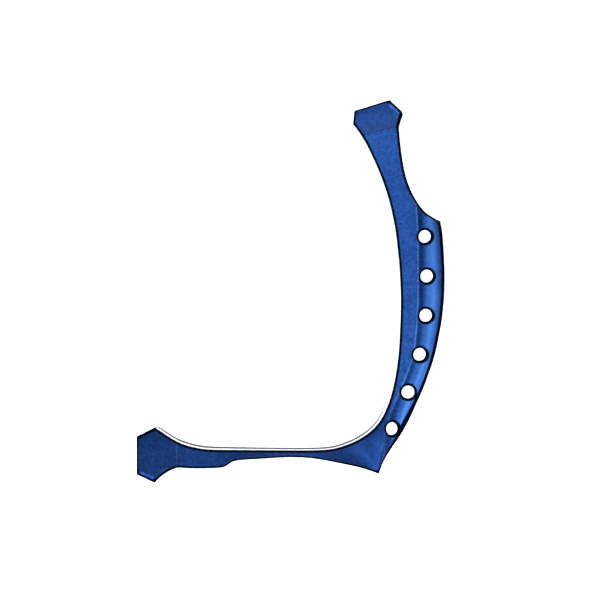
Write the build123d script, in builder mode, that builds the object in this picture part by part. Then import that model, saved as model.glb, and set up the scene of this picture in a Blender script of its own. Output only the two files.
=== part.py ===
from build123d import *
import math
import os
from typing import NamedTuple

# Cheek retractor: one L-shaped instrument formed from a single blank of thin light-metal
# sheet, with a soft bead bonded along the concave lip edge.
# Millimetres, +Z up. The L lies in the XY plane, handle arm along +Y, lip arm along -X,
# standing on its two paddle tips and the underside of the finger flange.
# Origin: centre of the bounding box, at its foot.

# ---------------------------------------------------------------- dimensions
SHEET = 1.5                 # sheet thickness
BASE_SHIFT = Vector(0.0, 0.02, 0.856)   # moves the whole instrument onto its origin

# Soft bead on the concave edge
GUARD_WIDTH = 1.4           # how far the bead stands out from the sheet edge
GUARD_LEAST = 0.45          # and at least this much where the web leans over
GUARD_FLAT = 0.45           # share of that width that is flat before the round nose
BOND_LINE = 0.08            # adhesive film between the sheet edge and the bead
NOSE_FACETS = 6             # facets round the bead's nose
LEAN_LIMIT = 0.9            # largest web lean (as a sine) the width allows for
SKEW_LIMIT = 0.6            # smallest sine of cut against edge the width allows for

# Finger flange: a trough between the crease and the outer edge
FLANGE_ANGLE = math.radians(42.0)   # slope of the trough wall where it leaves the crease
FLANGE_FACETS = 6           # strips the trough is formed in
TRIM_STEPS = 8              # iterations that settle the trimmed edge
HOLE_D = 5.0
HOLE_CUTTER_LENGTH = 8.0
# Hole centres in plan, along the trough
HOLES = [(50.40, 20.48), (51.11, 5.66), (50.74, -9.08),
         (48.45, -23.73), (44.06, -37.83), (38.10, -51.53)]

# Handle web: a plane rising along +Y
WEB_SLOPE = 0.0864          # rise per mm
WEB_Y0 = -35.0              # the web is WEB_Z0 high at this Y
WEB_Z0 = 3.00

# Paddles: slopes just past the crease and at the far edge
BEND_HALF = 1.0             # a bend starts this far before its crease and is full this far past
TIP_CREASE = (33.56, 59.66)     # middle of the handle paddle's crease
TIP_DIR = (-0.230, 0.973)       # direction the handle paddle points in
TIP_LENGTH = 10.4
TIP_NEAR = math.radians(50.0)
TIP_FAR = math.radians(40.0)
LIP_CREASE_X = -42.56           # the lip paddle points along -X
LIP_LENGTH = 15.1
LIP_NEAR = math.radians(25.0)
LIP_FAR = math.radians(17.0)

NORMAL_STEP = 0.02          # fraction of a cut stepped to either side to find a normal
HOLE_SAMPLES = 100          # steps along a cut when seeking a hole's place


# ---------------------------------------------------------------- cuts across the sheet
class Cut(NamedTuple):
    name: str
    inner_x: float          # concave (lip) edge
    inner_y: float
    outer_x: float          # outer edge
    outer_y: float
    crease: float           # crease position along the cut, 0 to 1
    trough: float = None    # trough width, None where there is no trough
    height: float = None    # height of the inner edge, None on the handle web
    tilt: float = 0.0       # fall of the web towards the outer edge, degrees

    @property
    def width(self):
        return math.hypot(self.outer_x - self.inner_x, self.outer_y - self.inner_y)

    @property
    def across(self):
        # level unit vector from the inner to the outer edge
        return Vector((self.outer_x - self.inner_x) / self.width,
                      (self.outer_y - self.inner_y) / self.width, 0)

    @property
    def square(self):
        # level unit vector square to the cut
        return self.across.cross(Vector(0, 0, 1))


# T cuts fan over the handle paddle, V cuts run down the handle arm, F cuts go round the
# corner and along the lip arm to its paddle. Columns as in Cut.
MEASURED = [
    ("T0",    24.04,  67.61,  37.12,  71.66, 0.700),
    ("T1",    23.48,  62.74,  42.00,  67.12, 0.700),
    ("T2",    24.68,  61.24,  41.29,  64.69, 0.700),
    ("T3",    25.61,  60.04,  40.73,  62.66, 0.700),
    ("T4",    26.51,  58.61,  40.59,  60.75, 0.700),
    ("T5",    27.56,  56.93,  40.73,  58.65, 0.700),
    ("T6",    28.65,  55.12,  40.99,  56.18, 0.720),
    ("T7",    29.93,  52.46,  41.32,  52.84, 0.750),
    ("V0",    31.54,  49.05,  41.89,  49.05, 0.800),
    ("V1",    33.49,  44.55,  42.71,  44.55, 0.850),
    ("V2",    35.18,  40.05,  44.02,  40.05, 0.890),
    ("V3",    36.30,  36.68,  45.52,  36.68, 0.920),
    ("V4",    36.98,  34.43,  46.73,  34.43, 0.940),
    ("V5",    37.43,  32.74,  47.77,  32.74, 0.955),
    ("V6",    37.84,  31.05,  49.01,  31.05, 0.857, 8.50),
    ("V7",    38.10,  29.74,  50.18,  29.74, 0.778, 8.50),
    ("V8",    38.40,  28.43,  51.71,  28.43, 0.692, 8.50),
    ("V9",    38.70,  27.11,  53.89,  27.11, 0.594, 8.50),
    ("V10",   38.93,  25.88,  56.29,  25.88, 0.512, 8.50),
    ("V11",   39.38,  23.36,  56.66,  23.36, 0.496, 8.70),
    ("V12",   39.86,  19.80,  57.00,  19.80, 0.480, 8.90),
    ("V13",   40.35,  15.30,  57.30,  15.30, 0.462, 9.11),
    ("V14",   40.84,  10.80,  57.56,  10.80, 0.439, 9.37),
    ("V15",   41.10,   6.30,  57.68,   6.30, 0.428, 9.49),
    ("V16",   41.36,   1.80,  57.68,   1.80, 0.418, 9.49),
    ("V17",   41.48,  -2.70,  57.45,  -2.70, 0.420, 9.26),
    ("V18",   41.44,  -7.20,  57.04,  -7.20, 0.421, 9.03),
    ("V19",   41.32, -11.70,  56.48, -11.70, 0.425, 8.71),
    ("V20",   41.10, -16.20,  55.65, -16.20, 0.430, 8.26),
    ("V21",   40.88, -20.70,  54.75, -20.70, 0.428, 7.93),
    ("V22",   40.46, -25.20,  53.55, -25.20, 0.415, 7.66),
    ("V23",   39.86, -29.70,  52.16, -29.96, 0.375, 7.62),
    ("F1",    39.15, -33.71,  50.29, -34.76, 0.321, 7.60),
    ("F2",    38.40, -37.20,  48.41, -39.26, 0.273, 7.43,  2.80,  0.5),
    ("F3",    37.43, -40.57,  46.54, -43.50, 0.240, 7.27,  2.72,  1.5),
    ("F4",    36.26, -43.76,  44.59, -47.70, 0.240, 7.20,  3.00,  3.0),
    ("F5",    34.76, -46.91,  42.49, -51.71, 0.300, 7.20,  3.50,  6.0),
    ("F6",    33.04, -49.61,  40.16, -55.84, 0.434, 7.20,  4.30, 10.0),
    ("F7",    31.01, -51.86,  37.54, -59.32, 0.659, 7.20,  5.30, 14.5),
    ("F8",    28.80, -53.70,  35.18, -62.96, 0.871, 7.20,  6.30, 18.5),
    ("F8b",   27.68, -54.49,  34.01, -65.62, 0.943, 7.20,  6.95, 20.5),
    ("F9",    26.44, -55.27,  33.07, -68.36, 0.985, None,  7.60, 22.5),
    ("F10",   24.75, -56.21,  30.00, -67.16, 0.950, None,  8.20, 25.0),
    ("F11",   22.88, -57.11,  26.62, -66.11, 0.900, None,  8.60, 28.0),
    ("F12",   20.62, -57.97,  22.88, -65.32, 0.850, None,  8.85, 31.0),
    ("F13",   17.66, -58.95,  18.94, -64.50, 0.800, None,  9.00, 34.0),
    ("F14",   14.25, -59.59,  14.81, -63.68, 0.760, None,  9.10, 36.5),
    ("F15",    9.94, -59.83,  10.12, -62.81, 0.730, None,  9.15, 38.0),
    ("F16",    5.25, -59.89,   5.25, -62.29, 0.700, None,  9.18, 38.0),
    ("F17",    0.56, -59.87,   0.56, -62.18, 0.700, None,  9.20, 38.0),
    ("F18",   -4.69, -59.85,  -4.69, -62.36, 0.700, None,  9.25, 38.0),
    ("F19",  -10.69, -59.79, -10.69, -62.76, 0.700, None,  9.32, 37.0),
    ("F20",  -15.94, -59.74, -15.94, -63.04, 0.700, None,  9.40, 35.5),
    ("F21",  -19.12, -59.70, -19.12, -63.26, 0.700, None,  9.45, 33.0),
    ("F22",  -20.62, -59.68, -20.81, -63.52, 0.700, None,  9.47, 31.5),
    ("F23",  -21.75, -59.66, -22.01, -63.90, 0.700, None,  9.49, 30.0),
    ("F24",  -22.69, -59.64, -23.06, -64.61, 0.700, None,  9.50, 28.0),
    ("F25",  -23.62, -59.62, -24.07, -65.55, 0.700, None,  9.52, 26.0),
    ("F26",  -24.75, -59.61, -25.31, -65.96, 0.700, None,  9.54, 25.0),
    ("F27",  -27.19, -59.59, -27.56, -66.17, 0.700, None,  9.60, 23.5),
    ("F28",  -30.94, -59.49, -31.12, -66.32, 0.700, None,  9.70, 22.0),
    ("F29",  -35.25, -58.91, -35.44, -66.34, 0.700, None,  9.90, 21.0),
    ("F30",  -38.81, -58.01, -39.00, -66.28, 0.700, None, 10.10, 20.0),
    ("F31",  -40.88, -57.34, -41.06, -66.07, 0.700, None, 10.20, 20.0),
    ("F32",  -42.56, -56.59, -42.45, -66.07, 0.700, None, 10.30, 20.0),
    ("F33",  -44.25, -55.54, -44.44, -66.79, 0.700, None, 10.75, 20.0),
    ("F34",  -46.50, -54.26, -46.69, -67.99, 0.700, None, 11.30, 20.0),
    ("F35",  -48.75, -52.54, -48.94, -69.60, 0.700, None, 12.00, 20.0),
    ("F36",  -50.74, -51.40, -51.07, -71.70, 0.700, None, 12.65, 20.0),
    ("F37",  -57.64, -54.70, -57.60, -68.62, 0.700, None, 11.75, 20.0),
]

# First and last cut of each loft; neighbours share a cut
SPANS = [("T0", "T1"), ("T1", "T5"), ("T5", "V5"), ("V5", "V10"), ("V10", "F1"),
         ("F1", "F9"), ("F9", "F15"), ("F15", "F17"), ("F17", "F21"), ("F21", "F24"),
         ("F24", "F27"), ("F27", "F32"), ("F32", "F36"), ("F36", "F37")]
GUARD_SPANS = SPANS[1:-1]   # the bead stops at the corners of the paddle ends


def clamp(value, low, high):
    return max(low, min(high, value))


def trimmed(cut):
    # Where the trough wall rises to the outer edge, the underside stands out past the top of
    # the cut by the sheet's lean, so the cut is shortened to keep the silhouette true.
    if cut.trough is None:
        return cut
    lean = math.sin(FLANGE_ANGLE)
    trough = cut.trough - SHEET * lean
    radius = trough / (2 * lean)
    short = 0.0
    for _ in range(TRIM_STEPS):
        past_middle = cut.width * (1 - cut.crease) - short - trough / 2
        short = SHEET * clamp(past_middle / radius, 0.0, lean)
    kept = (cut.width - short) / cut.width
    return cut._replace(
        outer_x=cut.inner_x + (cut.outer_x - cut.inner_x) * kept,
        outer_y=cut.inner_y + (cut.outer_y - cut.inner_y) * kept,
        crease=cut.crease / kept,
        trough=trough,
    )


CUTS = [trimmed(Cut(*row)) for row in MEASURED]
INDEX = {cut.name: i for i, cut in enumerate(CUTS)}


# ---------------------------------------------------------------- surface
def bend_drop(past, length, near, far):
    # height lost at a distance past a crease: the slope ramps up, then eases to the far edge
    near, far = math.tan(near), math.tan(far)
    if past <= -BEND_HALF:
        return 0.0
    if past < BEND_HALF:
        return near * (past + BEND_HALF) ** 2 / (4 * BEND_HALF)
    easing = (past - BEND_HALF) ** 2 / (2 * (length - BEND_HALF))
    return near * past - (near - far) * easing


def trough_offset(past, width):
    # height change at a distance past the crease: a circular arc hanging below its chord
    if past <= 0:
        return 0.0
    radius = width / (2 * math.sin(FLANGE_ANGLE))
    from_middle = min(past, width) - width / 2
    return radius * math.cos(FLANGE_ANGLE) - math.sqrt(max(radius ** 2 - from_middle ** 2, 0.0))


def web_share(i):
    # how much the handle web's own slope counts along cut i: 1 on the handle, 0 past the corner
    start, end = INDEX["F1"], INDEX["F9"]
    return clamp((end - i) / (end - start), 0.0, 1.0)


def top_point(i, fraction):
    # point of the upper surface on cut i, at a fraction of the way to the outer edge
    cut = CUTS[i]
    x = cut.inner_x + fraction * (cut.outer_x - cut.inner_x)
    y = cut.inner_y + fraction * (cut.outer_y - cut.inner_y)
    z = cut.height
    if z is None:
        z = WEB_Z0 + WEB_SLOPE * (cut.inner_y - WEB_Y0)
    z += web_share(i) * WEB_SLOPE * (y - cut.inner_y)
    z -= fraction * cut.width * math.tan(math.radians(cut.tilt))
    if cut.trough is not None:
        z += trough_offset((fraction - cut.crease) * cut.width, cut.trough)
    past_tip = (x - TIP_CREASE[0]) * TIP_DIR[0] + (y - TIP_CREASE[1]) * TIP_DIR[1]
    z -= bend_drop(past_tip, TIP_LENGTH, TIP_NEAR, TIP_FAR)
    z -= bend_drop(LIP_CREASE_X - x, LIP_LENGTH, LIP_NEAR, LIP_FAR)
    return Vector(x, y, z)


def normal(i, fraction, side=0):
    # upward unit normal of the upper surface; side -1 looks only inward along the cut, +1 outward
    low, high = fraction - NORMAL_STEP, fraction + NORMAL_STEP
    if side < 0 or high > 1:
        high = fraction
    if side > 0 or low < 0:
        low = fraction
    across = top_point(i, high) - top_point(i, low)
    before, after = max(i - 1, 0), min(i + 1, len(CUTS) - 1)
    along = top_point(after, fraction) - top_point(before, fraction)
    result = across.cross(along).normalized()
    return result if result.Z > 0 else result * -1


def section_normal(i, fraction, side=0):
    # the normal's part in the plane of the cut, shorter than 1 where the surface slopes along
    full = normal(i, fraction, side)
    square = CUTS[i].square
    return full - square * full.dot(square)


def bottom_point(i, fraction):
    # point of the lower surface under top_point, one sheet thickness away
    cut = CUTS[i]
    top = top_point(i, fraction)
    if cut.trough is not None and fraction == cut.crease:
        # mitre between the two sides of the crease
        inward, outward = section_normal(i, fraction, -1), section_normal(i, fraction, 1)
        middle = (inward.normalized() + outward.normalized()).normalized()
        thickness = SHEET / ((inward.length + outward.length) / 2)
        return top - middle * (thickness / middle.dot(inward.normalized()))
    down = section_normal(i, fraction)
    return top - down * (SHEET / down.length ** 2)


# ---------------------------------------------------------------- sections
def sheet_section(i):
    # web, flange, outer edge, and back underneath; the same number of edges on every cut
    crease = CUTS[i].crease
    fractions = [0.0] + [crease + (1 - crease) * n / FLANGE_FACETS
                         for n in range(FLANGE_FACETS + 1)]
    upper = [top_point(i, fraction) for fraction in fractions]
    lower = [bottom_point(i, fraction) for fraction in reversed(fractions)]
    return Face(Wire.make_polygon(upper + lower, close=True))


def guard_section(i):
    # as thick as the sheet, flat on both sides, round nose away from the sheet
    cut = CUTS[i]
    top, bottom = top_point(i, 0.0), bottom_point(i, 0.0)
    up = (top - bottom).normalized()
    out = cut.square.cross(up)

    # the cut is not always square to the edge, so the bead is stretched to keep its true width
    before = CUTS[max(i - 1, INDEX[GUARD_SPANS[0][0]])]
    after = CUTS[min(i + 1, INDEX[GUARD_SPANS[-1][1]])]
    edge = Vector(after.inner_x - before.inner_x, after.inner_y - before.inner_y, 0).normalized()
    stretch = 1 / max(abs(cut.across.cross(edge).Z), SKEW_LIMIT)

    # where the web leans, part of the width seen from above is the sheet edge under the bead
    lean = clamp(-up.dot(cut.across), 0.0, LEAN_LIMIT)
    width = max((GUARD_WIDTH - SHEET * lean) / math.sqrt(1 - lean ** 2), GUARD_LEAST) * stretch
    flat = width * GUARD_FLAT
    middle, half = (top + bottom) * 0.5, (top - bottom).length / 2
    nose = []
    for n in range(NOSE_FACETS + 1):
        angle = math.pi * n / NOSE_FACETS
        reach = flat + (width - flat) * math.sin(angle)
        nose.append(middle + out * reach + up * (half * math.cos(angle)))
    bond = out * BOND_LINE
    return Face(Wire.make_polygon([top + bond] + nose + [bottom + bond], close=True))


def sewn(spans, section):
    # Each span is lofted on its own, which keeps the outline's corners sharp. The side strips
    # (four edges each) and the two end caps are then sewn into one closed skin.
    skin = []
    for first, last in spans:
        sections = [section(i) for i in range(INDEX[first], INDEX[last] + 1)]
        strips = Solid.make_loft([face.outer_wire() for face in sections]).faces()
        skin += [face for face in strips if len(face.edges()) == 4]
        if first == spans[0][0]:
            skin.append(sections[0])
        if last == spans[-1][1]:
            skin.append(sections[-1])
    return Solid(Shell(skin)).moved(Location(BASE_SHIFT))


def hole_plane(x, y):
    # plane on the upper surface of the flange nearest a plan position
    nearest = math.inf
    flange = [i for i, cut in enumerate(CUTS) if cut.trough is not None]
    for i in flange[:-1]:
        for n in range(HOLE_SAMPLES + 1):
            fraction = n / HOLE_SAMPLES
            start = top_point(i, fraction)
            step = top_point(i + 1, fraction) - start
            share = ((x - start.X) * step.X + (y - start.Y) * step.Y) / (step.X ** 2 + step.Y ** 2)
            share = clamp(share, 0.0, 1.0)
            point = start + step * share
            distance = math.hypot(point.X - x, point.Y - y)
            if distance < nearest:
                nearest = distance
                centre = point
                facing = normal(i, fraction) * (1 - share) + normal(i + 1, fraction) * share
    return Plane(origin=centre + BASE_SHIFT, z_dir=facing.normalized())


# ---------------------------------------------------------------- pieces
def make_retractor_body():
    with BuildPart() as body:
        add(sewn(SPANS, sheet_section))
        # holes square to the trough wall where they stand
        for x, y in HOLES:
            with Locations(hole_plane(x, y)):
                Cylinder(HOLE_D / 2, HOLE_CUTTER_LENGTH, mode=Mode.SUBTRACT)
    return body.part


def make_lip_guard():
    with BuildPart() as guard:
        add(sewn(GUARD_SPANS, guard_section))
    return guard.part


# ---------------------------------------------------------------- export
os.makedirs("parts", exist_ok=True)
for name, make in (("retractor_body", make_retractor_body), ("lip_guard", make_lip_guard)):
    part = make()
    part.label = name
    export_step(part, f"parts/{name}.step")
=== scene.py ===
# A hand retractor pressed from one curved strip of blue anodised sheet, with a pale bead.
# It lies flat in XY, upper face to +Z. From the bent tip paddle at +Y the strip runs down the
# arm on the +X side, which carries a troughed flange with six holes, then along the foot on
# the -Y side to the bent lip paddle at -X. The bead follows the concave (inner) edge.
# Meshes are worked out in millimetres and scaled to metres; the studio is in metres.
import math
import bpy
import bmesh
import numpy as np
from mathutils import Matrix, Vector
from mathutils.bvhtree import BVHTree


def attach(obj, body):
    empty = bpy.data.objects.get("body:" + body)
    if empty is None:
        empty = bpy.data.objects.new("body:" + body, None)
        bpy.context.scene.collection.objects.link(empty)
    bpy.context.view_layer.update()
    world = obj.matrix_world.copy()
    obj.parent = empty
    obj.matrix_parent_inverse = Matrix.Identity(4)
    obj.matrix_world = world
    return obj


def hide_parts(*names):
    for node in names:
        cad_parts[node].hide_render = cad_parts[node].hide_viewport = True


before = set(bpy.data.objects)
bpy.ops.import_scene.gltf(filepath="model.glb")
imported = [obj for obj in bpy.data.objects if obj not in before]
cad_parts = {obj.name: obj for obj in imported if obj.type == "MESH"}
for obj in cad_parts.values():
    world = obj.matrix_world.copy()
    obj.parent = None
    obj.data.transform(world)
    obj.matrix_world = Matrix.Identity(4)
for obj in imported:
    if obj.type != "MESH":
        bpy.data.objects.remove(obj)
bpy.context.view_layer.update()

# ------------------------------------------------------------------ dimensions (mm)
SHEET = 1.5                   # sheet thickness
EDGE_R = 0.36                 # rounding radius of the cut edges
EDGE_STEPS = 5                # segments in each quarter round
OUTSET = 0.12                 # outline let out, so the painted edge shade holds its width on a pale floor
SHIFT = np.array([0.0, 0.02, 0.856])       # place of the sheet in the frame

FLANGE_ANGLE = math.radians(42.0)          # slope of the trough at either end of its chord
CREASE_SOFT = 0.85            # half width over which the flange crease is rolled
WEB_SLOPE, WEB_Y0, WEB_Z0 = 0.0864, -35.0, 3.0      # the flat web rises towards +Y
ARM_X = 28.0                  # the arm and its flange lie beyond this x

TIP_BEND = (50.0, 40.0)       # slope in degrees at the crease and at the far end
LIP_BEND = (25.0, 17.0)
TIP_CREASE, TIP_DIR, TIP_LENGTH = (33.56, 59.66), (-0.230, 0.973), 10.4
LIP_CREASE_X, LIP_LENGTH = -42.56, 15.1
TIP_FROM_Y, LIP_TO_X = 50.0, -30.0         # the two bends only act beyond these

RAISE = 0.42                  # extra thickness at the rim of the two paddles
RAISE_REACH = 1.9             # distance from the edge where the raised rim ends
RAISE_RAMP = 1.35             # width of its slope
TIP_RAISE = (1.5, 3.0)        # distance past the crease where the rim starts, and its run-in
LIP_RAISE = (2.5, 4.0)

HOLES = [(50.40, 20.48), (51.11, 5.66), (50.74, -9.08),
         (48.45, -23.73), (44.06, -37.83), (38.10, -51.53)]
HOLE_R = 2.42
HOLE_BREAK = 0.26             # broken edge round each hole
HOLE_SEGMENTS = 64

BEAD_WIDTH = 1.58             # seen from above
BEAD_LEAST = 0.45             # least reach past the sheet edge
BEAD_HALF = 0.52              # half height
BEAD_END = 1.1                # length of the rounded ends

TROUGH_MIDDLE = 5.95          # painted bright strip: distance past the crease,
TROUGH_FADE = 3.7             # offset where it has faded out
TROUGH_STRENGTH = 0.42        # and how strong it is

# Stations across the strip, from the tip (T) down the arm (V) and along the foot (F).
# name, inner edge x, y, outer edge x, y, crease place (share of width), trough chord
WEB_ROWS = [
    ("T0", 24.04, 67.61, 37.12, 71.66, 0.700, 8.50),
    ("T1", 23.48, 62.74, 42.00, 67.12, 0.700, 8.50),
    ("T2", 24.68, 61.24, 41.29, 64.69, 0.700, 8.50),
    ("T3", 25.61, 60.04, 40.73, 62.66, 0.700, 8.50),
    ("T4", 26.51, 58.61, 40.59, 60.75, 0.700, 8.50),
    ("T5", 27.56, 56.93, 40.73, 58.65, 0.700, 8.50),
    ("T6", 28.65, 55.12, 40.99, 56.18, 0.720, 8.50),
    ("T7", 29.93, 52.46, 41.32, 52.84, 0.750, 8.50),
    ("V0", 31.54, 49.05, 41.89, 49.05, 0.800, 8.50),
    ("V1", 33.49, 44.55, 42.71, 44.55, 0.850, 8.50),
    ("V2", 35.18, 40.05, 44.02, 40.05, 0.890, 8.50),
    ("V3", 36.30, 36.68, 45.52, 36.68, 0.920, 8.50),
    ("V4", 36.98, 34.43, 46.73, 34.43, 0.940, 8.50),
    ("V5", 37.43, 32.74, 47.77, 32.74, 0.955, 8.50),
    ("V6", 37.84, 31.05, 49.01, 31.05, 0.857, 8.50),
    ("V7", 38.10, 29.74, 50.18, 29.74, 0.778, 8.50),
    ("V8", 38.40, 28.43, 51.71, 28.43, 0.692, 8.50),
    ("V9", 38.70, 27.11, 53.89, 27.11, 0.594, 8.50),
    ("V10", 38.93, 25.88, 56.29, 25.88, 0.512, 8.50),
    ("V11", 39.38, 23.36, 56.66, 23.36, 0.496, 8.70),
    ("V12", 39.86, 19.80, 57.00, 19.80, 0.480, 8.90),
    ("V13", 40.35, 15.30, 57.30, 15.30, 0.462, 9.11),
    ("V14", 40.84, 10.80, 57.56, 10.80, 0.439, 9.37),
    ("V15", 41.10, 6.30, 57.68, 6.30, 0.428, 9.49),
    ("V16", 41.36, 1.80, 57.68, 1.80, 0.418, 9.49),
    ("V17", 41.48, -2.70, 57.45, -2.70, 0.420, 9.26),
    ("V18", 41.44, -7.20, 57.04, -7.20, 0.421, 9.03),
    ("V19", 41.32, -11.70, 56.48, -11.70, 0.425, 8.71),
    ("V20", 41.10, -16.20, 55.65, -16.20, 0.430, 8.26),
    ("V21", 40.88, -20.70, 54.75, -20.70, 0.428, 7.93),
    ("V22", 40.46, -25.20, 53.55, -25.20, 0.415, 7.66),
    ("V23", 39.86, -29.70, 52.16, -29.96, 0.375, 7.62),
    ("F1", 39.15, -33.71, 50.29, -34.76, 0.321, 7.60),
]
# the same, with the inner edge height and the outward tilt (degrees) before the chord
FOOT_ROWS = [
    ("F2", 38.40, -37.20, 48.41, -39.26, 0.273, 2.80, 0.5, 7.43),
    ("F3", 37.43, -40.57, 46.54, -43.50, 0.240, 2.72, 1.5, 7.27),
    ("F4", 36.26, -43.76, 44.59, -47.70, 0.240, 3.00, 3.0, 7.20),
    ("F5", 34.76, -46.91, 42.49, -51.71, 0.300, 3.50, 6.0, 7.20),
    ("F6", 33.04, -49.61, 40.16, -55.84, 0.434, 4.30, 10.0, 7.20),
    ("F7", 31.01, -51.86, 37.54, -59.32, 0.659, 5.30, 14.5, 7.20),
    ("F8", 28.80, -53.70, 35.18, -62.96, 0.871, 6.30, 18.5, 7.20),
    ("F8b", 27.68, -54.49, 34.01, -65.62, 0.943, 6.95, 20.5, 7.20),
    ("F9", 26.44, -55.27, 33.07, -68.36, 0.985, 7.60, 22.5, 7.20),
    ("F10", 24.75, -56.21, 30.00, -67.16, 0.950, 8.20, 25.0, 7.20),
    ("F11", 22.88, -57.11, 26.62, -66.11, 0.900, 8.60, 28.0, 7.20),
    ("F12", 20.62, -57.97, 22.88, -65.32, 0.850, 8.85, 31.0, 7.20),
    ("F13", 17.66, -58.95, 18.94, -64.50, 0.800, 9.00, 34.0, 7.20),
    ("F14", 14.25, -59.59, 14.81, -63.68, 0.760, 9.10, 36.5, 7.20),
    ("F15", 9.94, -59.83, 10.12, -62.81, 0.730, 9.15, 38.0, 7.20),
    ("F16", 5.25, -59.89, 5.25, -62.29, 0.700, 9.18, 38.0, 7.20),
    ("F17", 0.56, -59.87, 0.56, -62.18, 0.700, 9.20, 38.0, 7.20),
    ("F18", -4.69, -59.85, -4.69, -62.36, 0.700, 9.25, 38.0, 7.20),
    ("F19", -10.69, -59.79, -10.69, -62.76, 0.700, 9.32, 37.0, 7.20),
    ("F20", -15.94, -59.74, -15.94, -63.04, 0.700, 9.40, 35.5, 7.20),
    ("F21", -19.12, -59.70, -19.12, -63.26, 0.700, 9.45, 33.0, 7.20),
    ("F22", -20.62, -59.68, -20.81, -63.52, 0.700, 9.47, 31.5, 7.20),
    ("F23", -21.75, -59.66, -22.01, -63.90, 0.700, 9.49, 30.0, 7.20),
    ("F24", -22.69, -59.64, -23.06, -64.61, 0.700, 9.50, 28.0, 7.20),
    ("F25", -23.62, -59.62, -24.07, -65.55, 0.700, 9.52, 26.0, 7.20),
    ("F26", -24.75, -59.61, -25.31, -65.96, 0.700, 9.54, 25.0, 7.20),
    ("F27", -27.19, -59.59, -27.56, -66.17, 0.700, 9.60, 23.5, 7.20),
    ("F28", -30.94, -59.49, -31.12, -66.32, 0.700, 9.70, 22.0, 7.20),
    ("F29", -35.25, -58.91, -35.44, -66.34, 0.700, 9.90, 21.0, 7.20),
    ("F30", -38.81, -58.01, -39.00, -66.28, 0.700, 10.10, 20.0, 7.20),
    ("F31", -40.88, -57.34, -41.06, -66.07, 0.700, 10.20, 20.0, 7.20),
    ("F32", -42.56, -56.59, -42.45, -66.07, 0.700, 10.30, 20.0, 7.20),
    ("F33", -44.25, -55.54, -44.44, -66.79, 0.700, 10.75, 20.0, 7.20),
    ("F34", -46.50, -54.26, -46.69, -67.99, 0.700, 11.30, 20.0, 7.20),
    ("F35", -48.75, -52.54, -48.94, -69.60, 0.700, 12.00, 20.0, 7.20),
    ("F36", -50.74, -51.40, -51.07, -71.70, 0.700, 12.65, 20.0, 7.20),
    ("F37", -57.64, -54.70, -57.60, -68.62, 0.700, 11.75, 20.0, 7.20),
]
INNER_CORNERS = ("T1", "F36")              # stations where each edge turns sharply
OUTER_CORNERS = ("T1", "V10", "F9", "F36")
FINE_STRETCHES = [("T0", "T6"), ("V5", "F9"), ("F22", "F27"), ("F31", "F37")]
FINE_STEP, COARSE_STEP = 0.5, 0.75         # spacing of mesh rows in and out of those stretches
END_CLEAR = 0.8                            # no row this close to either end, but the end itself

# shares of the way from inner edge to crease, and from crease to outer edge, of mesh columns
TO_CREASE = np.array([0, .03, .07, .12, .18, .26, .35, .44, .53, .62, .70, .77, .83, .88,
                      .92, .96, 1.0])
PAST_CREASE = np.array([.05, .1, .16, .225, .295, .37, .445, .52, .595, .67, .74, .80, .855,
                        .905, .945, .975, 1.0])


# ------------------------------------------------------------------ helpers
def unit(vectors):
    return vectors / np.linalg.norm(vectors, axis=-1)[..., None]


def smooth(t):
    t = np.clip(t, 0, 1)
    return t * t * (3 - 2 * t)


def hermite(x, y, slopes, xs):
    """Cubic through (x, y) with the given slopes, read at xs."""
    h = np.diff(x)
    k = np.clip(np.searchsorted(x, xs, side="right") - 1, 0, len(x) - 2)
    t = (xs - x[k]) / h[k]
    return ((2 * t ** 3 - 3 * t ** 2 + 1) * y[k] + (t ** 3 - 2 * t ** 2 + t) * h[k] * slopes[k]
            + (-2 * t ** 3 + 3 * t ** 2) * y[k + 1] + (t ** 3 - t ** 2) * h[k] * slopes[k + 1])


def shape_keeping(x, y, xs):
    """Cubic that doesn't overshoot its points."""
    h = np.diff(x)
    d = np.diff(y) / h
    slopes = np.zeros_like(y)
    for j in range(1, len(x) - 1):
        if d[j - 1] * d[j] > 0:
            w1, w2 = 2 * h[j] + h[j - 1], h[j] + 2 * h[j - 1]
            slopes[j] = (w1 + w2) / (w1 / d[j - 1] + w2 / d[j])
    slopes[0] = ((2 * h[0] + h[1]) * d[0] - h[0] * d[1]) / (h[0] + h[1])
    slopes[-1] = ((2 * h[-1] + h[-2]) * d[-1] - h[-1] * d[-2]) / (h[-1] + h[-2])
    for end in (0, -1):
        if slopes[end] * d[end] <= 0:
            slopes[end] = 0
    return hermite(x, y, slopes, xs)


def new_mesh(name, vertices, faces):
    mesh = bpy.data.meshes.new(name)
    mesh.from_pydata(vertices, [], faces)
    return mesh


def new_object(name, data):
    obj = bpy.data.objects.new(name, data)
    bpy.context.scene.collection.objects.link(obj)
    return obj


def outward_bmesh(mesh):
    """The mesh as a bmesh with every face turned outwards."""
    bm = bmesh.new()
    bm.from_mesh(mesh)
    bmesh.ops.recalc_face_normals(bm, faces=bm.faces)
    if bm.calc_volume() < 0:
        bmesh.ops.reverse_faces(bm, faces=bm.faces)
    return bm


def shade_smooth(mesh, sharp_degrees):
    for polygon in mesh.polygons:
        polygon.use_smooth = True
    mesh.set_sharp_from_angle(angle=math.radians(sharp_degrees))


def point_attribute(mesh, name, values):
    attribute = mesh.attributes.new(name, "FLOAT", "POINT")
    flat = np.ascontiguousarray(values.reshape(-1), dtype=np.float32)
    attribute.data.foreach_set("value", flat)


# ------------------------------------------------------------------ stations
def web_z(y):
    return WEB_Z0 + WEB_SLOPE * (y - WEB_Y0)


STATIONS = [(name, ix, iy, ox, oy, crease, web_z(iy), 0.0, chord)
            for name, ix, iy, ox, oy, crease, chord in WEB_ROWS] + FOOT_ROWS
names = [row[0] for row in STATIONS]


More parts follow.
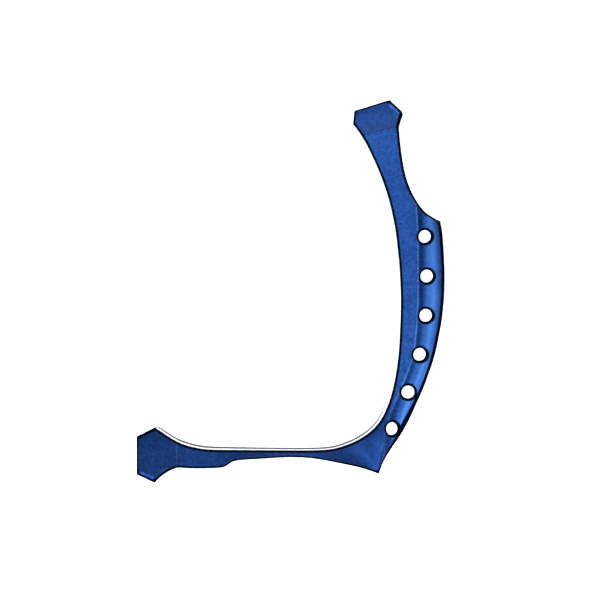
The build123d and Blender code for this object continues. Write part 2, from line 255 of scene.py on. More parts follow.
def station_values(index, row):
    """Edges, crease, height, tilt, chord and web share, with the leaning flange edge drawn in.

    The table gives the outline of the whole thickness; the upper face stops short of it.
    """
    name, ix, iy, ox, oy, crease, z, tilt, chord = row
    width = math.hypot(ox - ix, oy - iy)
    lean = math.sin(FLANGE_ANGLE)
    chord -= SHEET * lean
    radius = chord / (2.0 * lean)
    short = 0.0
    if names.index("V6") <= index <= names.index("F8b"):
        for _ in range(8):      # settles to a fixed value
            edge_lean = (width * (1 - crease) - short - chord / 2.0) / radius
            short = SHEET * max(0.0, min(lean, edge_lean))
    keep = (width - short) / width
    web_end, foot_start = names.index("F1"), names.index("F9")
    if index <= web_end:
        web_share = 1.0
    elif index >= foot_start:
        web_share = 0.0
    else:
        web_share = (foot_start - index) / (foot_start - web_end)
    return (ix, iy, ix + (ox - ix) * keep, iy + (oy - iy) * keep, crease / keep, z,
            math.tan(math.radians(tilt)), chord, web_share)


base = np.array([station_values(i, row) for i, row in enumerate(STATIONS)])
centre = 0.5 * (base[:, 0:2] + base[:, 2:4])
base_along = np.concatenate([[0], np.cumsum(np.linalg.norm(np.diff(centre, axis=0), axis=1))])


def station(name):
    """Distance of a station along the strip."""
    return base_along[names.index(name)]


def mesh_rows():
    """Distances of the mesh rows: every station, with even steps between."""
    rows = [0.0]
    for j in range(len(names) - 1):
        gap = base_along[j + 1] - base_along[j]
        fine = any(names.index(a) <= j < names.index(b) for a, b in FINE_STRETCHES)
        steps = max(1, int(round(gap / (FINE_STEP if fine else COARSE_STEP))))
        for q in range(1, steps + 1):
            rows.append(base_along[j] + gap * q / steps)
    ends = (rows[0], rows[-1])
    return np.array([d for d in rows if d in ends or END_CLEAR < d < ends[1] - END_CLEAR])


along = mesh_rows()
n_rows = len(along)
n_cols = len(TO_CREASE) + len(PAST_CREASE)


def edge_curve(first_column, corners, outer_edge):
    """One cut edge in plan: smooth between its corners, straight on short stretches."""
    cuts = [0] + [names.index(c) for c in corners] + [len(names) - 1]
    out = np.zeros((n_rows, 2))
    for a, b in zip(cuts, cuts[1:]):
        part = (along >= base_along[a] - 1e-9) & (along <= base_along[b] + 1e-9)
        short = b - a < 3
        for c in (0, 1):
            x, y = base_along[a:b + 1], base[a:b + 1, first_column + c]
            if short:
                out[part, c] = np.interp(along[part], x, y)
            else:
                out[part, c] = hermite(x, y, np.gradient(y, x, edge_order=2), along[part])
        if short:
            continue
        index = np.where(part)[0]
        for turn in range(14):      # even out small waves, ends held
            p = out[index].copy()
            soft = 0.25 * p[:-2] + 0.5 * p[1:-1] + 0.25 * p[2:]
            # the step before the lip and the notch at the tip stay crisp after four turns
            stepped = (p[1:-1, :1] < 0) | (p[1:-1, 1:2] > 54)
            crisp = outer_edge & (turn > 3) & stepped
            out[index[1:-1]] = np.where(crisp, p[1:-1], soft)
    return out


inner = edge_curve(0, INNER_CORNERS, outer_edge=False)
outer = edge_curve(2, OUTER_CORNERS, outer_edge=True)
crease_share, inner_z, tilt, chord, web_share = [
    shape_keeping(base_along, base[:, c], along) for c in (4, 5, 6, 7, 8)]
width = np.linalg.norm(outer - inner, axis=1)
across = (outer - inner) / width[:, None]
on_web = along <= station("F1")
inner_z[on_web] = web_z(inner[on_web, 1])
crease_at = crease_share * width               # crease distance from the inner edge
# the trough fades in below the tip and out again before the foot
trough_share = np.where(
    along < station("V15"),
    smooth((along - station("V2")) / (station("V6") - station("V2"))),
    smooth((station("F9") - along) / (station("F9") - station("F8"))))


# ------------------------------------------------------------------ upper surface
def bend_drop(q, length, ends):
    """Drop at distance q past a crease that is rolled over 1 mm to either side."""
    a, b = math.tan(math.radians(ends[0])), math.tan(math.radians(ends[1]))
    roll = a * (np.clip(q, -1, 1) + 1.0) ** 2 / 4.0
    far = a * (q - 1.0) - (a - b) * (q - 1.0) ** 2 / (2.0 * (length - 1.0))
    return np.where(q < 1.0, roll, a + far)


def trough(d, chord):
    """Circular trough at distance d past the flange crease, which is itself rolled."""
    radius = chord / (2.0 * math.sin(FLANGE_ANGLE))

    def arc(x):
        u = np.minimum(np.maximum(x, 0) - chord / 2.0, chord / 2.0)
        root = np.sqrt(np.maximum(radius * radius - u * u, 1e-9))
        return radius * math.cos(FLANGE_ANGLE) - root, u / root
    soft = CREASE_SOFT
    end, slope = arc(soft)
    t = np.clip((d + soft) / (2 * soft), 0, 1)
    roll = end * (3 * t ** 2 - 2 * t ** 3) + slope * 2 * soft * (t ** 3 - t ** 2)
    return np.where(d >= soft, arc(d)[0], roll)


def past_tip_crease(x, y):
    return (x - TIP_CREASE[0]) * TIP_DIR[0] + (y - TIP_CREASE[1]) * TIP_DIR[1]


plan_loop = np.concatenate([inner, outer[::-1]])


def edge_distance(x, y):
    best = np.full(x.shape, 1e9)
    for (ax, ay), (bx, by) in zip(plan_loop, np.roll(plan_loop, -1, axis=0)):
        dx, dy = bx - ax, by - ay
        t = np.clip(((x - ax) * dx + (y - ay) * dy) / max(dx * dx + dy * dy, 1e-12), 0, 1)
        best = np.minimum(best, (x - ax - t * dx) ** 2 + (y - ay - t * dy) ** 2)
    return np.sqrt(best)


def height(x, y, near_row, raised=True):
    """Height of the upper surface over (x, y), with or without the raised paddle rims."""
    x, y = np.asarray(x, float), np.asarray(y, float)

    def side_of(row):
        return (across[row, 0] * (y - inner[row, 1])
                - across[row, 1] * (x - inner[row, 0]))

    # find the pair of rows the point lies between, nearest first
    row = np.clip(near_row, 0, n_rows - 2)
    found = np.zeros(x.shape, bool)
    for step in sorted(range(-9, 9), key=abs):
        trial = np.clip(near_row + step, 0, n_rows - 2)
        hit = (side_of(trial) * side_of(trial + 1) <= 0) & ~found
        row = np.where(hit, trial, row)
        found |= hit
    sa, sb = side_of(row), side_of(row + 1)
    t = np.clip(sa / np.where(np.abs(sa - sb) < 1e-9, 1e-9, sa - sb), -0.5, 1.5)

    def mix(values):
        return values[row] * (1 - t) + values[row + 1] * t
    ix, iy, dx, dy = mix(inner[:, 0]), mix(inner[:, 1]), mix(across[:, 0]), mix(across[:, 1])
    p = ((x - ix) * dx + (y - iy) * dy) / np.hypot(dx, dy)
    z = (mix(inner_z) - p * mix(tilt) + mix(web_share) * (y - iy) * WEB_SLOPE
         + mix(trough_share) * trough(p - mix(crease_at), mix(chord)))
    past_tip, past_lip = past_tip_crease(x, y), LIP_CREASE_X - x
    on_tip, on_lip = y > TIP_FROM_Y, x < LIP_TO_X
    z = z - np.where(on_tip, bend_drop(past_tip, TIP_LENGTH, TIP_BEND), 0.0)
    z = z - np.where(on_lip, bend_drop(past_lip, LIP_LENGTH, LIP_BEND), 0.0)
    if not raised:
        return z
    share = (np.where(on_tip, smooth((past_tip - TIP_RAISE[0]) / TIP_RAISE[1]), 0.0)
             + np.where(on_lip, smooth((past_lip - LIP_RAISE[0]) / LIP_RAISE[1]), 0.0))
    on = share > 0
    if on.any():
        rise = np.zeros_like(z)
        slope = smooth((RAISE_REACH - edge_distance(x[on], y[on])) / RAISE_RAMP)
        rise[on] = RAISE * share[on] * slope
        z = z + rise
    return z


def normal(x, y, near_row, e=0.04):
    """Square to the sheet, leaving the raised rims out; e is the sampling step."""
    def plain(x, y):
        return height(x, y, near_row, raised=False)
    zx = (plain(x + e, y) - plain(x - e, y)) / (2 * e)
    zy = (plain(x, y + e) - plain(x, y - e)) / (2 * e)
    return unit(np.stack([-zx, -zy, np.ones_like(zx)], axis=-1))


# ------------------------------------------------------------------ outline loop
END_INSET = 0.75       # the end rows start and stop this far from the corners


def columns(start, crease, stop):
    return np.concatenate([start + (crease - start) * TO_CREASE,
                           crease + (stop - crease) * PAST_CREASE])


# the crease column is kept off both edges
crease_col = np.clip(crease_at, 0.25 * width, width - 0.9 - 0.02 * width)


def end_row(row):
    places = columns(END_INSET, crease_col[row], width[row] - END_INSET)
    return inner[row] + across[row] * places[:, None]


# the loop runs along the inner edge, over the lip end, back along the outer edge, over the tip
loop_row = np.array(list(range(n_rows)) + [n_rows - 1] * (n_cols - 2)
                    + list(range(n_rows - 1, -1, -1)) + [0] * (n_cols - 2))
loop_col = np.array([0] * n_rows + list(range(1, n_cols - 1))
                    + [n_cols - 1] * n_rows + list(range(n_cols - 2, 0, -1)))
n_loop = len(loop_row)
LIP_END = slice(n_rows, n_rows + n_cols - 2)
OUTER_EDGE = slice(n_rows + n_cols - 2, 2 * n_rows + n_cols - 2)
TIP_END = slice(2 * n_rows + n_cols - 2, None)
plan = np.concatenate([inner, end_row(-1)[1:-1], outer[::-1], end_row(0)[1:-1][::-1]])
on_inner, on_outer = loop_col == 0, loop_col == n_cols - 1
on_arm_rim = on_outer & (plan[:, 0] > ARM_X)

# slopes are read a hair inside the outline, and evened out along the flange rim
inward = np.where(on_inner[:, None], 1.0, -1.0) * across[loop_row]
sample = plan + np.where((on_inner | on_outer)[:, None], inward * 0.06, 0.0)
rim_normal = normal(sample[:, 0], sample[:, 1], loop_row)
calm = on_arm_rim & (plan[:, 1] < 24) & (plan[:, 1] > -57)
for _ in range(24):
    evened = (0.25 * np.roll(rim_normal, 1, axis=0) + 0.5 * rim_normal
              + 0.25 * np.roll(rim_normal, -1, axis=0))
    rim_normal = np.where(calm[:, None], unit(evened), rim_normal)
rim_z = height(plan[:, 0], plan[:, 1], loop_row)
raised_by = rim_z - height(plan[:, 0], plan[:, 1], loop_row, raised=False)
thickness = SHEET + raised_by[:, None] * rim_normal[:, 2:3]
rim = np.concatenate([plan, rim_z[:, None]], axis=1)

# outward direction in the plane of the sheet, with mitred corners
area_twice = np.sum(plan[:, 0] * np.roll(plan[:, 1], -1) - plan[:, 1] * np.roll(plan[:, 0], -1))
turn_sign = 1.0 if area_twice > 0 else -1.0


def outward(tangents, normals):
    return unit(np.cross(tangents, normals) * turn_sign)


out_before = outward(unit(rim - np.roll(rim, 1, axis=0)), rim_normal)
out_after = outward(unit(np.roll(rim, -1, axis=0) - rim), rim_normal)
out_dir = unit(out_before + out_after)
mitre = (EDGE_R / np.clip((out_dir * out_before).sum(1), 0.62, 1.0))[:, None]

# a rounded edge on a leaning sheet draws in its outline from above, so it is let out to suit
lean = np.abs(out_dir[:, 2])
level = np.sqrt(1 - np.minimum(lean, 0.9) ** 2)
let_out = EDGE_R * (lean + level - 1) / level + OUTSET
let_out[on_inner & (out_dir[:, 2] > 0.1)] = 0.06
# a little more along the outer rim of the flange, by y
flange_share = np.interp(rim[:, 1], [-60.0, -53.0, 24.95, 26.5], [0.0, 1.0, 1.0, 0.0])
let_out += np.where(on_arm_rim, 0.10 * flange_share, 0.0)
# the underside of the bent tip shows past its +X edge, so that edge stands back
tip_share = np.interp(rim[:, 1], [60.0, 62.2, 66.0, 67.12, 67.4], [0.0, 1.0, 1.0, 0.5, 0.0])
let_out -= np.where(on_arm_rim, 0.42 * tip_share, 0.0)
rim = rim + out_dir * (let_out[:, None] * mitre / EDGE_R)


# ------------------------------------------------------------------ sheet
def rounded_edge():
    """Loops round the cut edge, from the upper face to the lower: (loop, point, xyz)."""
    angles = [math.pi / 2 * k / EDGE_STEPS for k in range(EDGE_STEPS + 1)]
    upper = [rim - rim_normal * (EDGE_R - EDGE_R * math.cos(a))
             - out_dir * mitre * (1 - math.sin(a)) for a in angles]
    lower = [rim - rim_normal * (thickness - EDGE_R + EDGE_R * math.sin(a))
             - out_dir * mitre * (1 - math.cos(a)) for a in angles]
    return np.stack(upper + lower)


def sheet_geometry():
    """Vertices and quads of the upper face, the lower face and the rounded edge."""
    ring = rounded_edge()
    top_loop = ring[0][:, :2]
    grid = np.zeros((n_rows, n_cols, 2))
    first, last = top_loop[:n_rows], top_loop[OUTER_EDGE][::-1]
    for i in range(n_rows):
        span = last[i] - first[i]
        w = np.linalg.norm(span)
        start = float((first[i] - inner[i]) @ across[i])
        crease = min(max(crease_col[i] - start, 0.2 * w), w - 0.3)
        grid[i] = first[i] + span * (columns(0.0, crease, w) / w)[:, None]
    grid[0, 1:-1] = top_loop[TIP_END][::-1]
    grid[-1, 1:-1] = top_loop[LIP_END]

    grid_row = np.repeat(np.arange(n_rows)[:, None], n_cols, axis=1)
    x, y = grid[..., 0], grid[..., 1]
    top = np.concatenate([grid, height(x, y, grid_row)[..., None]], axis=2)
    plain = np.concatenate([grid, height(x, y, grid_row, raised=False)[..., None]], axis=2)
    bottom = plain - normal(x, y, grid_row) * SHEET
    top[loop_row, loop_col] = ring[0]
    bottom[loop_row, loop_col] = ring[-1]
    vertices = np.concatenate([part.reshape(-1, 3) for part in (top, bottom, ring[1:-1])])

    bottom_start, ring_start, n_rings = n_rows * n_cols, 2 * n_rows * n_cols, len(ring)

    def ring_vertex(k, l):
        l %= n_loop
        if k == 0:
            return loop_row[l] * n_cols + loop_col[l]
        if k == n_rings - 1:
            return bottom_start + loop_row[l] * n_cols + loop_col[l]
        return ring_start + (k - 1) * n_loop + l

    faces = []
    for i in range(n_rows - 1):
        for j in range(n_cols - 1):
            quad = (i * n_cols + j, (i + 1) * n_cols + j,
                    (i + 1) * n_cols + j + 1, i * n_cols + j + 1)
            faces.append(quad)
            faces.append(tuple(bottom_start + v for v in reversed(quad)))
    for k in range(n_rings - 1):
        for l in range(n_loop):
            faces.append((ring_vertex(k, l), ring_vertex(k + 1, l),
                          ring_vertex(k + 1, l + 1), ring_vertex(k, l + 1)))
    return (vertices + SHIFT).tolist(), faces


mesh = new_mesh("retractor_sheet", *sheet_geometry())
bm = outward_bmesh(mesh)
bm.to_mesh(mesh)
sheet_tree = BVHTree.FromBMesh(bm)
bm.free()
body = new_object("retractor_sheet", mesh)


# ------------------------------------------------------------------ holes
def hole_cutter(x, y):
    """Cutter that follows the curved sheet: straight wall, edge broken above and below."""
    oy = y + SHIFT[1]
    # the axis is the mean normal at the centre and on a small circle round it
    hits = [sheet_tree.ray_cast(Vector((x + r * math.cos(a * math.pi / 6),
                                        oy + r * math.sin(a * math.pi / 6), 100.0)),
                                Vector((0, 0, -1)))
            for a in range(12) for r in (0.0, 1.7)]
    axis = Vector((0, 0, 0))
    for hit in hits:
        axis += hit[1]
    axis.normalize()
    centre = hits[0][0]
    u = axis.orthogonal().normalized()
    v = axis.cross(u)
    vertices, faces = [], []
    for s in range(HOLE_SEGMENTS):
        angle = 2 * math.pi * s / HOLE_SEGMENTS
        spoke = u * math.cos(angle) + v * math.sin(angle)

        def level(radius, above):
            start = centre + spoke * radius + axis * (6.0 if above else -6.0)
            hit = sheet_tree.ray_cast(start, -axis if above else axis)
            return (hit[0] - centre).dot(axis)
        cut = HOLE_BREAK
        top_in, top_out = level(HOLE_R, True), level(HOLE_R + cut, True)
        low_in, low_out = level(HOLE_R, False), level(HOLE_R + cut, False)
        # flared mouth, edge break and wall from above, then the same from below
        profile = ((HOLE_R + 2.3 * cut, top_out + 1.3 * cut),
                   (HOLE_R + 0.36 * cut, top_in - 0.42 * cut),
                   (HOLE_R, top_in - cut * 1.15),
                   (HOLE_R, low_in + cut * 1.15),
                   (HOLE_R + 0.36 * cut, low_in + 0.42 * cut),
                   (HOLE_R + 2.3 * cut, low_out - 1.3 * cut))
        for radius, z in profile:
            vertices.append(centre + spoke * radius + axis * z)
    n = len(profile)
    turns = [(s, (s + 1) % HOLE_SEGMENTS) for s in range(HOLE_SEGMENTS)]
    for s, t in turns:
        for q in range(n - 1):
            faces.append((s * n + q, s * n + q + 1, t * n + q + 1, t * n + q))
    apex = len(vertices)
    vertices += [centre + axis * 3.2, centre - axis * 4.8]
    for s, t in turns:
        faces.append((apex, s * n, t * n))
        faces.append((apex + 1, t * n + n - 1, s * n + n - 1))
    return vertices, faces, centre, axis


def cut_holes():
    """Cut every hole; returns the new mesh and the centre and axis of each hole."""
    frames, vertices, faces = [], [], []
    for x, y in HOLES:
        part, part_faces, centre, axis = hole_cutter(x, y)
        faces += [tuple(k + len(vertices) for k in f) for f in part_faces]
        vertices += [tuple(p) for p in part]
        frames.append((centre, axis))
    cutter_mesh = new_mesh("cutters", vertices, faces)
    bm = outward_bmesh(cutter_mesh)
    bmesh.ops.triangulate(bm, faces=bm.faces)
    bm.to_mesh(cutter_mesh)
    bm.free()
    cutters = new_object("cutters", cutter_mesh)
    modifier = body.modifiers.new("holes", "BOOLEAN")
    modifier.operation = "DIFFERENCE"
    modifier.solver = "EXACT"
    modifier.object = cutters
    bpy.context.view_layer.update()
    evaluated = body.evaluated_get(bpy.context.evaluated_depsgraph_get())
    cut = bpy.data.meshes.new_from_object(evaluated)
    body.modifiers.clear()
    body.data = cut
    bpy.data.objects.remove(cutters)
    cut.name = "retractor_sheet"
    return cut, frames


mesh, hole_frames = cut_holes()
bm = bmesh.new()
bm.from_mesh(mesh)
bmesh.ops.remove_doubles(bm, verts=bm.verts, dist=1e-3)
bmesh.ops.dissolve_degenerate(bm, edges=bm.edges, dist=1e-3)
bmesh.ops.scale(bm, vec=(0.001, 0.001, 0.001), verts=bm.verts)
bm.to_mesh(mesh)
bm.free()


# ------------------------------------------------------------------ surface data for the paint
FAR = 4.0      # distances are only worked out this near


def rim_distances(points):
    """Distance to the upper and lower corners of the cut edge."""
    best = np.full(len(points), FAR)
    for corner in (rim, rim - rim_normal * thickness):
        corner = (corner + SHIFT)[::2]
        for a, b in zip(corner, np.roll(corner, -1, axis=0)):
            d = b - a
            near = np.abs(points - (a + b) / 2).max(1) < FAR
            if near.any():
                p = points[near]
                t = np.clip(((p - a) @ d) / max(float(d @ d), 1e-9), 0, 1)
                gap = np.linalg.norm(p - a - t[:, None] * d, axis=1)
                best[near] = np.minimum(best[near], gap)
    return best


def hole_distances(points):
    best = np.full(len(points), FAR)
    for centre, axis in hole_frames:
        centre, axis = np.array(centre), np.array(axis)
        offset = points - centre
        up = offset @ axis
        radial = np.linalg.norm(offset - up[:, None] * axis, axis=1)
        near = np.abs(up) < 5.0
        best[near] = np.minimum(best[near], np.clip(radial[near] - HOLE_R, 0, FAR))
    return best


def past_creases(x, y, past_tip):
    """Distance past the crest of the nearest crease: flange, tip or lip."""
    crest = inner + across * (crease_at - 0.30)[:, None] + SHIFT[:2]
    live = (trough_share > 0.2) & (along < station("F8"))
    crest, side = crest[live], across[live]
    past = np.full(len(x), -9.0)
    for k in np.where((x > ARM_X) & (y < 36) & (y > -70))[0]:
        gap = (crest[:, 0] - x[k]) ** 2 + (crest[:, 1] - y[k]) ** 2
        m = int(np.argmin(gap))
        if 0 < m < len(crest) - 1:
            past[k] = (np.array((x[k], y[k])) - crest[m]) @ side[m]
    on_lip, on_tip = x < -36, y > 54
    past = np.where(on_lip, LIP_CREASE_X - x, past)
    past = np.where(on_tip, past_tip, past)
    # on the paddles, held short of the painted trough highlight and with the painted crest
    # highlight line narrowed
    held = np.clip(past, -2, 1.0)
    return np.where(on_lip | on_tip, held + np.sign(held) * 0.17, past)


def paint_sheet():
    points = np.zeros(len(mesh.vertices) * 3, np.float32)
    mesh.vertices.foreach_get("co", points)
    points = points.reshape(-1, 3).astype(float) * 1000.0
    x, y = points[:, 0], points[:, 1]
    past_tip = past_tip_crease(x, y - SHIFT[1])
    past = past_creases(x, y, past_tip)
    # the painted edge shade is narrower along the flange rim, and wider again towards its foot
    on_flange = np.clip((past - 3.0) / 1.5, 0, 1)
    low = np.interp(y, [-48.0, -38.0], [1.0, 0.0])
    flange_shift = np.where((x > ARM_X) & (y < 36), (0.42 - 0.80 * low) * on_flange, 0.0)
    # a soft shade just past the tip crease, steeper on its near side
    shade = 0.26 * np.exp(-((past_tip - 1.5) / np.where(past_tip < 1.5, 1.0, 2.3)) ** 2)
    # the painted highlight strip closes in towards the foot of the flange
    strip_y = [-56.0, -44.0, -32.0]
    strip_middle = np.interp(y, strip_y, [4.3, 4.9, TROUGH_MIDDLE])
    strip_width = np.interp(y, strip_y, [0.50, 0.62, 1.0])
    point_attribute(mesh, "rim_distance", rim_distances(points) + flange_shift)
    point_attribute(mesh, "hole_distance", hole_distances(points))
    point_attribute(mesh, "crease_shade", np.where(y > 54, shade, 0.0))
    point_attribute(mesh, "past_crease", past)
    point_attribute(mesh, "trough_offset", (past + 0.5 - strip_middle) / strip_width)


paint_sheet()
shade_smooth(mesh, sharp_degrees=38)


# ------------------------------------------------------------------ bead on the concave edge
def bead_profile():
    """Closed section as (outward, up) shares, starting inside the sheet edge."""
    flank = [(-0.35, 0.80), (0.0, 0.93), (0.18, 0.99), (0.42, 1.0)]
    nose = [(0.42 + 0.58 * math.sin(math.pi * q / 12), math.cos(math.pi * q / 12))
            for q in range(1, 12)]
    return flank + nose + [(out, -up) for out, up in reversed(flank)]


def build_bead():
    start, stop = [int(np.argmin(abs(along - station(name)))) for name in INNER_CORNERS]
    rows = np.arange(start, stop + 1)
    edge, up = rim[rows], rim_normal[rows]
    out = outward(unit(np.gradient(edge, axis=0)), up)
    slope = np.clip(out[:, 2], 0, 0.9)
    reach = np.maximum((BEAD_WIDTH - SHEET * slope) / np.sqrt(1 - slope ** 2), BEAD_LEAST)
    steps = np.linalg.norm(np.diff(edge, axis=0), axis=1)
    length = np.concatenate([[0], np.cumsum(steps)])
    to_end = np.minimum(length, length[-1] - length)
    rounding = np.sqrt(np.clip(1 - (1 - np.clip(to_end / BEAD_END, 0, 1)) ** 2, 0, 1))
    rounding = np.maximum(rounding, 0.04)
    lines = []
    for a, h in bead_profile():
        aside = np.where(a > 0, a * reach * rounding, a)
        lines.append(edge - up * (SHEET / 2) + out * aside[:, None]
                     + up * (h * BEAD_HALF * (0.35 + 0.65 * rounding))[:, None])
    points = np.stack(lines, axis=1) + SHIFT       # (row, profile point, xyz)
    n, m = points.shape[:2]
    faces = []
    for i in range(n - 1):
        for q in range(m):
            r = (q + 1) % m
            faces.append((i * m + q, (i + 1) * m + q, (i + 1) * m + r, i * m + r))
    faces.append(tuple(range(m)))
    faces.append(tuple((n - 1) * m + q for q in reversed(range(m))))
    bead_mesh = new_mesh("edge_bead", (points.reshape(-1, 3) / 1000.0).tolist(), faces)

    # how far across the bead a point lies seen from above, and how strong its painted shade line
    # is
    from_edge = points[:, :, :2] - (edge + SHIFT)[:, None, :2]
    offset = (from_edge * unit(out[:, :2])[:, None, :]).sum(2)
    share = offset / np.maximum(offset.max(axis=1), 0.2)[:, None]
    # strength of the painted shade line along the bead, by y
    use = np.interp(edge[:, 1], [-60, -57, -45, -25, 30, 50, 60],
                    [1.0, 1.0, 0.62, 0.12, 0.05, 0.3, 0.3])
    point_attribute(bead_mesh, "bead_reach", share)
    point_attribute(bead_mesh, "bead_shade_strength", np.repeat(use[:, None], m, axis=1))
    bm = outward_bmesh(bead_mesh)
    bm.to_mesh(bead_mesh)
    bm.free()
    shade_smooth(bead_mesh, sharp_degrees=60)
    return new_object("edge_bead", bead_mesh)


bead = build_bead()


# ------------------------------------------------------------------ materials
class Shader:
    """A node tree with short calls for the nodes used here."""

    def __init__(self, tree):
        self.tree = tree

    def fill(self, node, inputs):
        """Link the sockets and set the plain values given for a node's inputs."""
        for key, value in inputs.items():
            if isinstance(value, bpy.types.NodeSocket):
                self.tree.links.new(value, node.inputs[key])
            else:
                node.inputs[key].default_value = value

    def add(self, kind, inputs={}, **settings):
        node = self.tree.nodes.new("ShaderNode" + kind)
        for key, value in settings.items():
            setattr(node, key, value)
        self.fill(node, inputs)
        return node

    def noise(self, vector, scale, detail, roughness):
        return self.add("TexNoise", {"Vector": vector, "Scale": scale, "Detail": detail,
                                     "Roughness": roughness}).outputs["Fac"]

    def attribute(self, name):
        return self.add("Attribute", attribute_name=name).outputs["Fac"]

    def math(self, operation, *operands):
        return self.add("Math", dict(enumerate(operands)), operation=operation).outputs[0]

    def map_range(self, value, source=(0.0, 1.0), to=(0.0, 1.0), kind="LINEAR"):
        inputs = {"Value": value, "From Min": source[0], "From Max": source[1],
                  "To Min": to[0], "To Max": to[1]}
        return self.add("MapRange", inputs, interpolation_type=kind).outputs["Result"]

    def mix(self, factor, a, b):
        sockets = {0: factor, 6: a, 7: b}       # factor and the two colours
        return self.add("Mix", sockets, data_type="RGBA").outputs[2]

    def ramp(self, factor, stops):
        node = self.add("ValToRGB", {"Fac": factor})
        elements = node.color_ramp.elements
        while len(elements) < len(stops):
            elements.new(0.5)
        for element, (position, colour) in zip(elements, stops):
            element.position = position
            element.color = (*colour, 1.0)
        return node.outputs["Color"]

    def bump(self, bsdf, layers):
        """Stack bump layers of (height, strength, distance) onto the surface normal."""
        below = {}
        for source, strength, distance in layers:
            inputs = {"Strength": strength, "Distance": distance, "Height": source, **below}
            below = {"Normal": self.add("Bump", inputs).outputs["Normal"]}
        self.fill(bsdf, below)


def new_material(name):
    material = bpy.data.materials.new(name)
    material.use_nodes = True
    material.node_tree.nodes.clear()
    shader = Shader(material.node_tree)
    output = shader.add("OutputMaterial")
    bsdf = shader.add("BsdfPrincipled")
    shader.fill(output, {"Surface": bsdf.outputs["BSDF"]})
    return material, shader, bsdf


def painted_edge_shade(shader, mottle):
    """Painted shade mask: 1 along the cut edges and round the holes, 0 elsewhere, with an uneven
    border.
    """
    wobble = shader.math("MULTIPLY_ADD", mottle, 0.22, -0.11)
    near = shader.math("MINIMUM", shader.attribute("rim_distance"),
                       shader.attribute("hole_distance"))
    return shader.map_range(shader.math("ADD", near, wobble), source=(0.84, 1.18),
                            to=(1.0, 0.0), kind="SMOOTHSTEP")


def wear_and_highlight_amount(shader, position, mottle, dark):
    """Painted highlight line on the crease crests, patchy like abraded dye, painted highlight
    strip in the trough, and sparse scuffed flecks.
    """
    # painted highlight: a light line along the crease crests, patchy like abraded dye
    off_crest = shader.math("ABSOLUTE", shader.attribute("past_crease"))
    crest_highlight_mask = shader.map_range(off_crest, source=(0.05, 0.42), to=(1.0, 0.0),
                                  kind="SMOOTHSTEP")
    patchy = shader.map_range(mottle, source=(0.36, 0.62), to=(0.25, 0.8))
    patched = shader.math("MULTIPLY", patchy, shader.math("SUBTRACT", 1.0, dark))
    crest_highlight = shader.math("MULTIPLY", crest_highlight_mask, patched)

    # painted highlight: a bright strip along the trough, kept clear of the painted edge shade
    jog = shader.math("SUBTRACT", mottle, 0.5)
    off_strip = shader.math("ABSOLUTE",
                            shader.math("ADD", jog, shader.attribute("trough_offset")))
    strip = shader.map_range(off_strip, source=(1.0, TROUGH_FADE),
                             to=(TROUGH_STRENGTH, 0.0), kind="SMOOTHSTEP")

    fleck_noise = shader.noise(position, scale=900.0, detail=5.0, roughness=0.75)
    flecks = shader.map_range(fleck_noise, source=(0.62, 0.78), to=(0.0, 0.45))
    flecks_and_crest_highlight = shader.math("MAXIMUM", flecks, crest_highlight)
    clear_strip = shader.math("MULTIPLY", strip, shader.math("SUBTRACT", 1.0, dark))
    return shader.math("MAXIMUM", flecks_and_crest_highlight, clear_strip)


def anodised_blue():
    material, shader, bsdf = new_material("anodised_blue_metal")
    position = shader.add("TexCoord").outputs["Object"]
    # dye depth: broad clouds, a finer mottle, and blasting grain
    cloud = shader.noise(position, scale=55.0, detail=3.0, roughness=0.55)
    mottle = shader.noise(position, scale=860.0, detail=5.0, roughness=0.65)
    grain = shader.noise(position, scale=2600.0, detail=2.0, roughness=0.6)
    pits = shader.add("TexVoronoi", {"Vector": position, "Scale": 3400.0}).outputs["Distance"]
    depth = shader.math("MULTIPLY_ADD", mottle, 0.62,
                        shader.math("MULTIPLY_ADD", cloud, 0.38, 0.0))
    dye = shader.ramp(depth, [(0.36, (0.0095, 0.038, 0.160)),
                              (0.5, (0.0150, 0.060, 0.245)),
                              (0.64, (0.024, 0.090, 0.345))])
    # painted shade: a dark outline along the cut edges and round the holes, joined by the
    # painted shade just past the tip crease
    dark = painted_edge_shade(shader, mottle)
    painted_shade = shader.math("MAXIMUM", dark, shader.attribute("crease_shade"))
    edge_shade_colour, wear_and_highlight_colour = (0.0007, 0.0026, 0.014, 1), (0.064, 0.200, 0.56, 1)
    tinted = shader.mix(painted_shade, dye, edge_shade_colour)
    wear_and_highlight = wear_and_highlight_amount(shader, position, mottle, dark)
    shader.fill(bsdf, {
        # lighter blue for scuffed flecks, and painted highlight on the crests and in the trough
        "Base Color": shader.mix(wear_and_highlight, tinted, wear_and_highlight_colour),
        # the painted edge shade is matt, so the pale floor doesn't wash it out
        "Metallic": shader.map_range(dark, to=(1.0, 0.0)),
        "Specular IOR Level": shader.map_range(dark, to=(0.5, 0.0)),
        "Roughness": shader.map_range(depth, source=(0.3, 0.7), to=(0.44, 0.54)),
    })
    # height, strength, distance in metres
    shader.bump(bsdf, [(grain, 0.22, 0.00004), (pits, 0.18, 0.00005), (mottle, 0.10, 0.0002)])
    return material


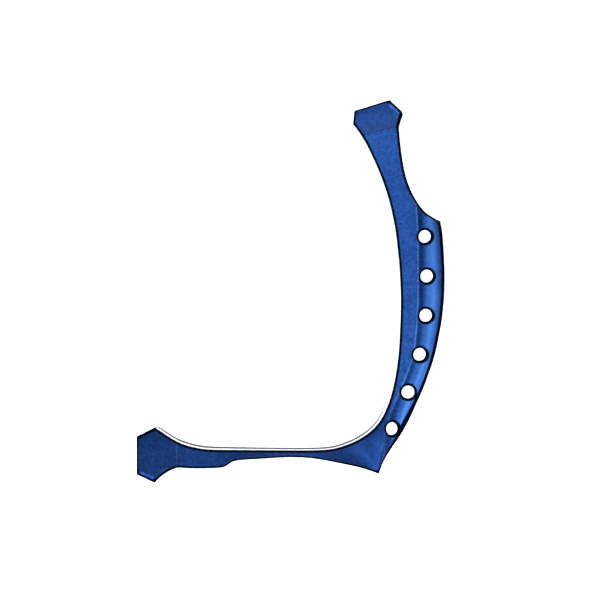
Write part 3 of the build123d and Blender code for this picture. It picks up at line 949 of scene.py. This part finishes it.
def pale_silicone():
    material, shader, bsdf = new_material("pale_silicone")
    position = shader.add("TexCoord").outputs["Object"]
    cloud = shader.noise(position, scale=120.0, detail=3.0, roughness=0.5)
    fine = shader.noise(position, scale=1800.0, detail=3.0, roughness=0.6)
    pale = shader.ramp(cloud, [(0.35, (0.86, 0.87, 0.89)), (0.65, (0.93, 0.935, 0.95))])
    # painted shade: a grey line along the outer side of the bead
    reach = shader.math("MULTIPLY_ADD", cloud, 0.10, shader.attribute("bead_reach"))
    line = shader.map_range(reach, source=(0.43, 0.60), kind="SMOOTHSTEP")
    shade_line_amount = shader.math("MULTIPLY", line, shader.attribute("bead_shade_strength"))
    bead_shade_colour = (0.055, 0.058, 0.085, 1)
    colour = shader.mix(shade_line_amount, pale, bead_shade_colour)
    shader.fill(bsdf, {
        "Base Color": colour,
        # painted light: the bead glows faintly so it stays pale under any light
        "Emission Color": colour,
        "Emission Strength": 0.28,
        "Subsurface Weight": 0.15,
        "Subsurface Radius": (0.0015, 0.0015, 0.0018),
        "Subsurface Scale": 0.3,
        "Roughness": shader.map_range(fine, to=(0.38, 0.55)),
    })
    shader.bump(bsdf, [(fine, 0.12, 0.00004)])
    return material


blue, pale = anodised_blue(), pale_silicone()
mesh.materials.clear()
mesh.materials.append(blue)
bead.data.materials.append(pale)

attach(body, "root")
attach(bead, "root")
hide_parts("retractor_body")
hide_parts("lip_guard")


# ------------------------------------------------------------------ floor, light, camera (m)
def studio_floor(half=3.0, z=-0.0002):
    corners = [(-half, -half, z), (half, -half, z), (half, half, z), (-half, half, z)]
    floor = new_object("studio_floor", new_mesh("studio_floor", corners, [(0, 1, 2, 3)]))
    material, shader, bsdf = new_material("pale_floor")
    shader.fill(bsdf, {
        "Base Color": (0.95, 0.95, 0.95, 1),
        "Roughness": 0.9,
        "Specular IOR Level": 0.1,
        "Emission Color": (1, 1, 1, 1),
        "Emission Strength": 0.85,
    })
    floor.data.materials.append(material)
    return floor


def studio_world(bright_side, strengths):
    """Soft surround, brighter towards bright_side; strengths run from dark to bright."""
    world = bpy.data.worlds.new("studio")
    world.use_nodes = True
    shader = Shader(world.node_tree)
    direction = shader.add("TexCoord").outputs["Generated"]
    facing = shader.add("VectorMath", {0: direction, 1: bright_side}, operation="DOT_PRODUCT")
    strength = shader.map_range(facing.outputs["Value"], source=(-1.0, 1.0), to=strengths)
    background = world.node_tree.nodes["Background"]
    shader.fill(background, {"Strength": strength, "Color": (1, 1, 1, 1)})
    bpy.context.scene.world = world


def area_light(name, location, size, energy):
    """Rectangular light aimed at the origin."""
    light = bpy.data.lights.new(name, "AREA")
    light.shape = "RECTANGLE"
    light.size, light.size_y = size
    light.energy = energy
    lamp = bpy.data.objects.new(name, light)
    lamp.location = location
    lamp.rotation_euler = (-Vector(location)).to_track_quat("-Z", "Y").to_euler()
    bpy.context.scene.collection.objects.link(lamp)


studio_floor()
studio_world(bright_side=(-0.45, 0.85, 0.0), strengths=(0.14, 0.42))
area_light("key", location=(-0.46, 0.16, 1.25), size=(0.42, 0.42), energy=10.0)
area_light("fill", location=(0.52, -0.56, 1.05), size=(0.45, 0.45), energy=7.0)
area_light("left_low", location=(-1.0, 0.75, 0.42), size=(0.5, 0.3), energy=12.0)

# looks straight down
camera_data = bpy.data.cameras.new("camera")
camera_data.type = "ORTHO"
camera_data.ortho_scale = 0.225
camera_data.clip_start, camera_data.clip_end = 0.01, 10
camera = new_object("camera", camera_data)
camera.location = (0.00356, -0.00326, 1.0)
scene = bpy.context.scene
scene.camera = camera
scene.view_settings.view_transform = "Standard"
scene.view_settings.look = "None"
